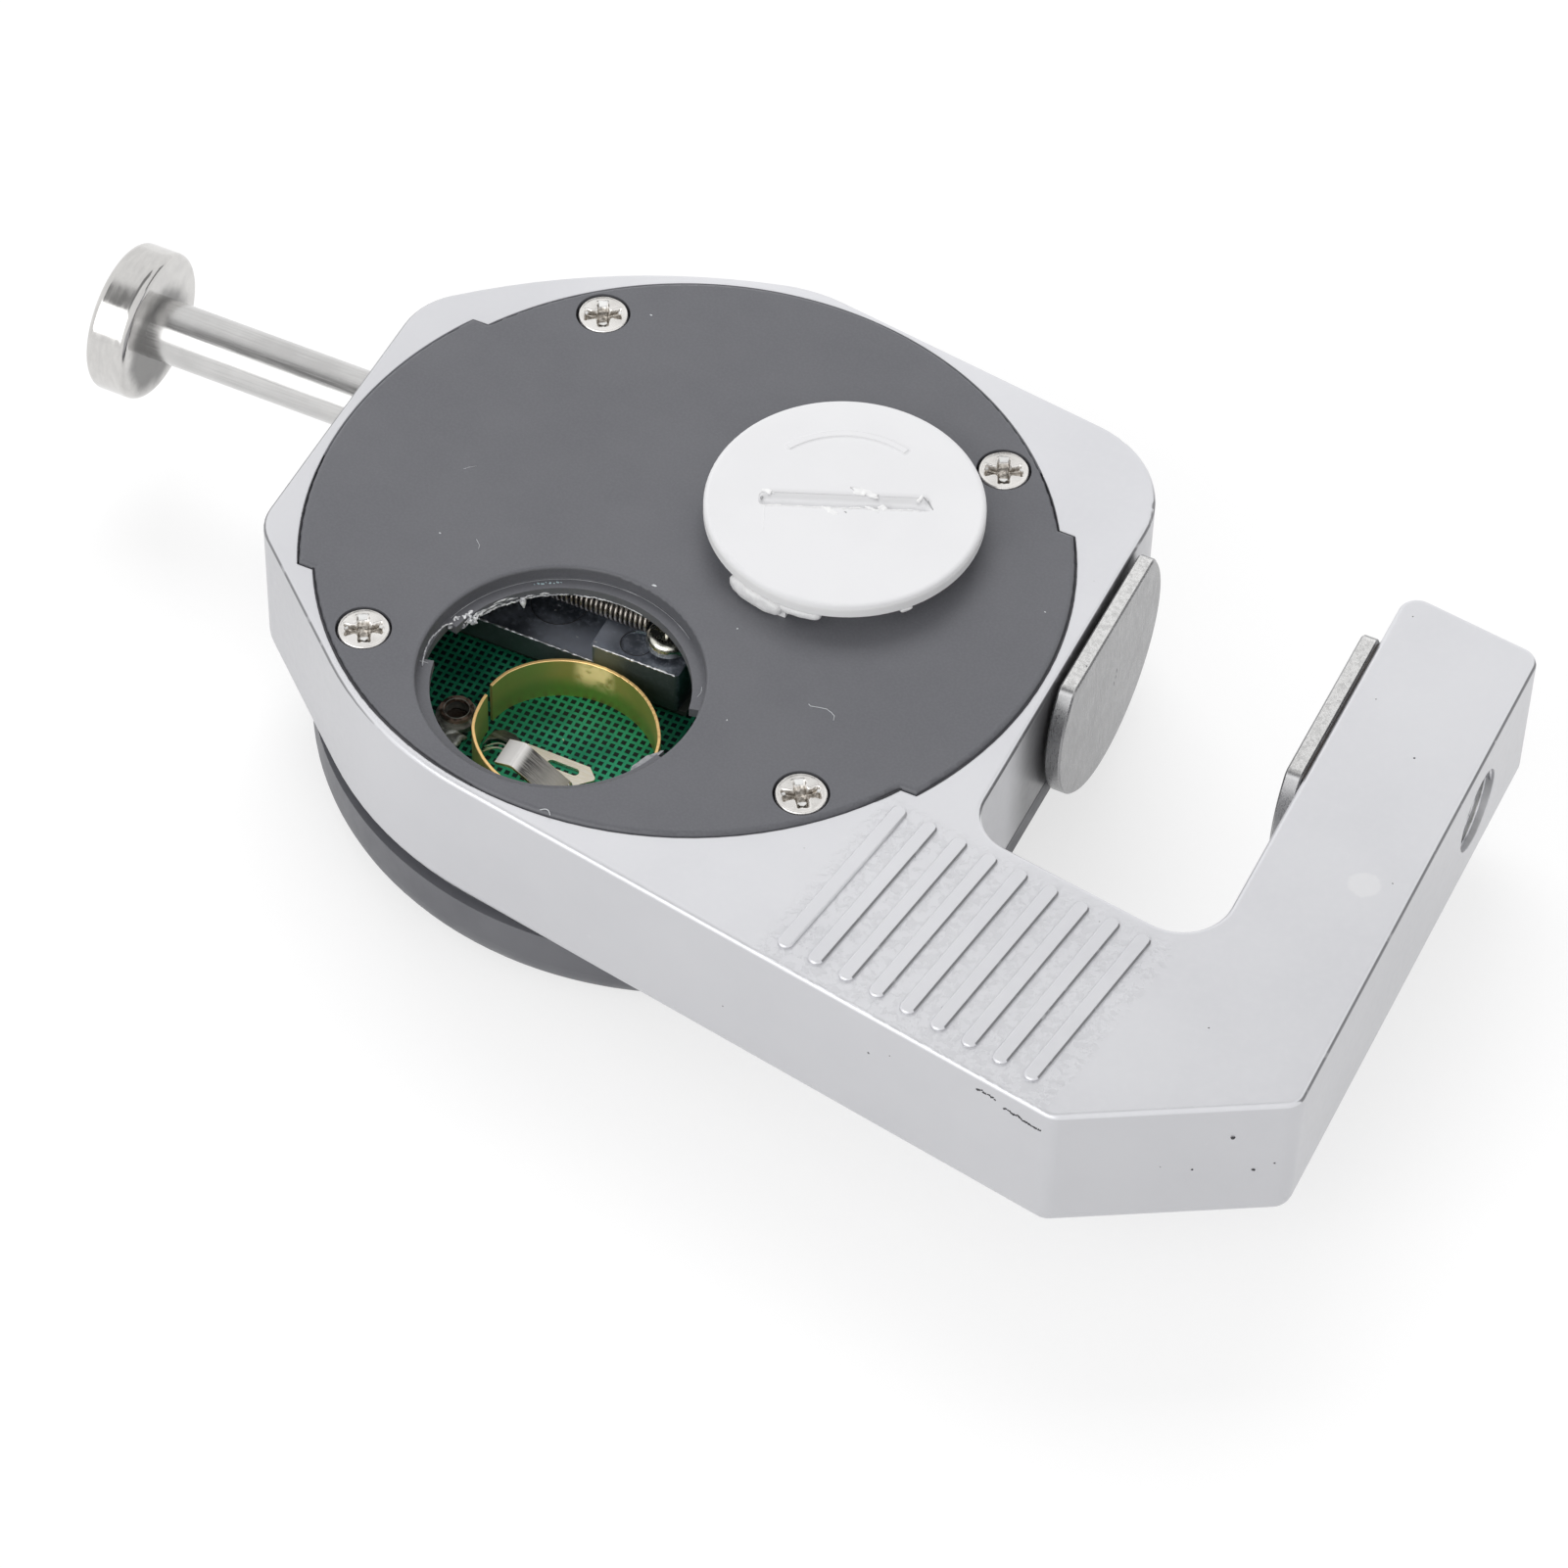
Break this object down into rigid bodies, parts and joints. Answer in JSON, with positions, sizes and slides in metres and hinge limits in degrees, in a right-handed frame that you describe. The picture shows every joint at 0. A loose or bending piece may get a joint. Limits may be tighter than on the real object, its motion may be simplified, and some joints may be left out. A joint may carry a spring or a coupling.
{
  "type": "digital thickness gauge",
  "caption": "Pocket thickness gauge: round case on a C-shaped cast frame, thumb plunger on a sprung spindle, flat anvils, open battery well with its door laid on the back.",
  "frame": {"origin": "centre of the front housing's round flat face, on the case axis, where the gauge rests", "axes": "+X along the spindle from the plunger to the anvils, +Y out of the open throat, +Z out of the back cover"},
  "size_m": [0.092, 0.0529, 0.018],
  "materials": {
    "silver_casting": "satin painted die casting",
    "case_plastic": "fine matte moulding",
    "cover_plastic": "fine matte moulding",
    "door_plastic": "satin white moulding",
    "nickel_screw": "nickel plated",
    "spindle_steel": "ground",
    "cap_steel": "polished",
    "anvil_steel": "ground and lapped",
    "bush_bronze": "plain",
    "contact_brass": "bright",
    "contact_nickel": "brushed",
    "board_green": "solder mask over laminate",
    "slider_laminate": "laminate",
    "carriage_casting": "dark raw die casting",
    "window_clear": "clear polished",
    "display_glass": "grey-green liquid crystal glass",
    "holder_plastic": "white moulding",
    "zebra_rubber": "matte",
    "resin_black": "domed resin",
    "dome_steel": "spring steel",
    "button_rubber": "matte moulding",
    "spring_steel": "spring wire"
  },
  "bodies": {
    "gauge": {"frame": "silver_casting", "back_cover": "cover_plastic", "cover_screws": "nickel_screw", "front_housing": "case_plastic", "display_window": "window_clear", "display_panel": "display_glass", "display_holder": "holder_plastic", "zebra_strip": "zebra_rubber", "main_board": "board_green", "board_screws": "nickel_screw", "controller_chip": "resin_black", "switch_domes": "dome_steel", "battery_ring": "contact_brass", "leaf_contact": "contact_nickel", "contact_eyelet": "contact_brass", "left_bush": "bush_bronze", "right_bush": "bush_bronze", "fixed_anvil": "anvil_steel", "anvil_screw": "nickel_screw", "guide_rod": "spindle_steel", "anchor_screw": "nickel_screw", "return_spring": "spring_steel"},
    "spindle_group": {"spindle": "spindle_steel", "plunger_cap": "cap_steel", "moving_anvil": "anvil_steel", "carriage": "carriage_casting", "clamp_screw": "nickel_screw", "slider_board": "slider_laminate", "carriage_screw": "nickel_screw"},
    "power_button": {"power_button": "button_rubber"},
    "zero_button": {"zero_button": "button_rubber"},
    "unit_button": {"unit_button": "button_rubber"},
    "battery_door": {"battery_door": "door_plastic"}
  },
  "joints": [
    {"name": "spindle_slide", "type": "slide", "parent": "gauge", "child": "spindle_group", "axis": [1, 0, 0], "range_m": [0, 0.01348], "stiffness_N_per_m": 90, "springref_m": -0.012, "deforming": ["return_spring"]},
    {"name": "power_button_press", "type": "slide", "parent": "gauge", "child": "power_button", "axis": [0, 0, 1], "range_m": [0, 0.0004], "stiffness_N_per_m": 1000, "springref_m": -0.0003},
    {"name": "zero_button_press", "type": "slide", "parent": "gauge", "child": "zero_button", "axis": [0, 0, 1], "range_m": [0, 0.0004], "stiffness_N_per_m": 1000, "springref_m": -0.0003},
    {"name": "unit_button_press", "type": "slide", "parent": "gauge", "child": "unit_button", "axis": [0, 0, 1], "range_m": [0, 0.0004], "stiffness_N_per_m": 1000, "springref_m": -0.0003},
    {"name": "door_lift", "type": "slide", "parent": "gauge", "child": "battery_door", "axis": [0, 0, 1], "range_m": [0, 0.03]}
  ]
}
